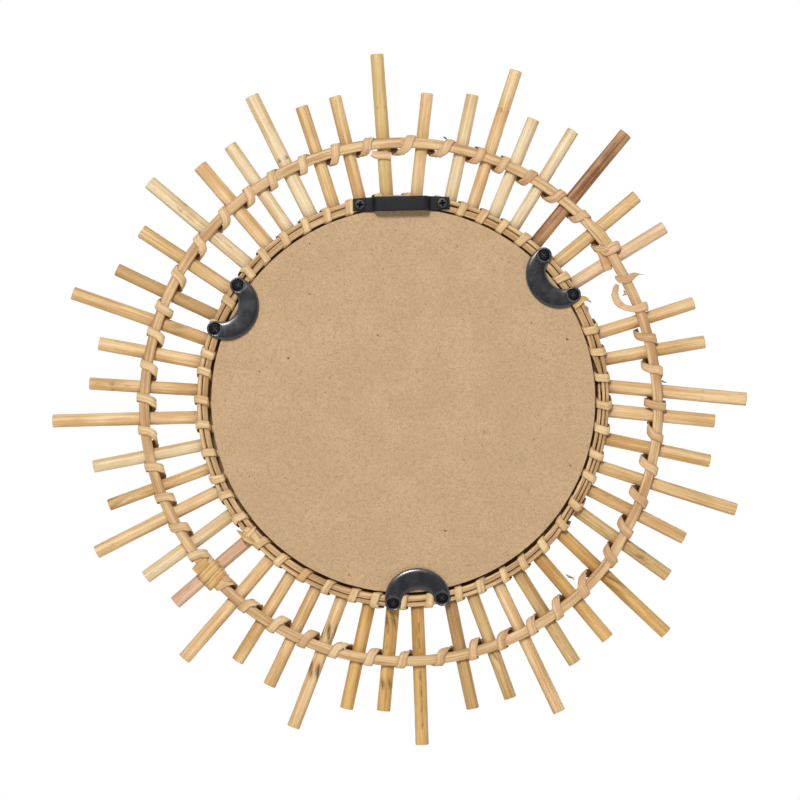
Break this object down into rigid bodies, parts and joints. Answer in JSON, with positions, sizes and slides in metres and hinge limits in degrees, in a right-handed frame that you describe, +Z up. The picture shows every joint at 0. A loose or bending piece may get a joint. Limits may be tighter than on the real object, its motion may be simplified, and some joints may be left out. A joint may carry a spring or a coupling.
{
  "type": "wall mirror",
  "caption": "Round wall mirror in a sunburst frame of cane sticks bound to two rings, with a strap hanger and crescent clips on its back.",
  "frame": {"origin": "middle of the lower edge of the hanger's bridge, where a wall hook carries the mirror", "axes": "+Y towards the wall, -Y out of the glass, +Z up, X level along the hanger"},
  "size_m": [0.3828, 0.0237, 0.3811],
  "materials": {
    "cane_stick": "satin natural cane",
    "split_cane": "satin split cane",
    "binding": "satin peeled cane strip",
    "board": "matt fibreboard",
    "mirror": "silvered glass",
    "clip": "satin black",
    "strap": "matt black"
  },
  "bodies": {
    "root": {"backing_board": "board", "clip_bottom": "clip", "clip_left": "clip", "clip_right": "clip", "hanger": "strap", "inner_back_coil": "split_cane", "inner_binding": "binding", "inner_front_hoop": "split_cane", "mirror_glass": "mirror", "outer_back_hoop": "split_cane", "outer_binding": "binding", "outer_front_hoop": "split_cane", "stick_00": "cane_stick", "stick_01": "cane_stick", "stick_02": "cane_stick", "stick_03": "cane_stick", "stick_04": "cane_stick", "stick_05": "cane_stick", "stick_06": "cane_stick", "stick_07": "cane_stick", "stick_08": "cane_stick", "stick_10": "cane_stick", "stick_11": "cane_stick", "stick_12": "cane_stick", "stick_13": "cane_stick", "stick_14": "cane_stick", "stick_15": "cane_stick", "stick_16": "cane_stick", "stick_17": "cane_stick", "stick_18": "cane_stick", "stick_19": "cane_stick", "stick_20": "cane_stick", "stick_21": "cane_stick", "stick_22": "cane_stick", "stick_23": "cane_stick", "stick_24": "cane_stick", "stick_25": "cane_stick", "stick_26": "cane_stick", "stick_27": "cane_stick", "stick_28": "cane_stick", "stick_29": "cane_stick", "stick_30": "cane_stick", "stick_31": "cane_stick", "stick_32": "cane_stick", "stick_33": "cane_stick", "stick_34": "cane_stick", "stick_35": "cane_stick", "stick_36": "cane_stick", "stick_37": "cane_stick", "stick_38": "cane_stick", "stick_39": "cane_stick", "stick_40": "cane_stick", "stick_41": "cane_stick", "stick_42": "cane_stick", "stick_43": "cane_stick", "stick_44": "cane_stick", "stick_45": "cane_stick", "stick_46": "cane_stick", "stick_47": "cane_stick"}
  },
  "joints": []
}
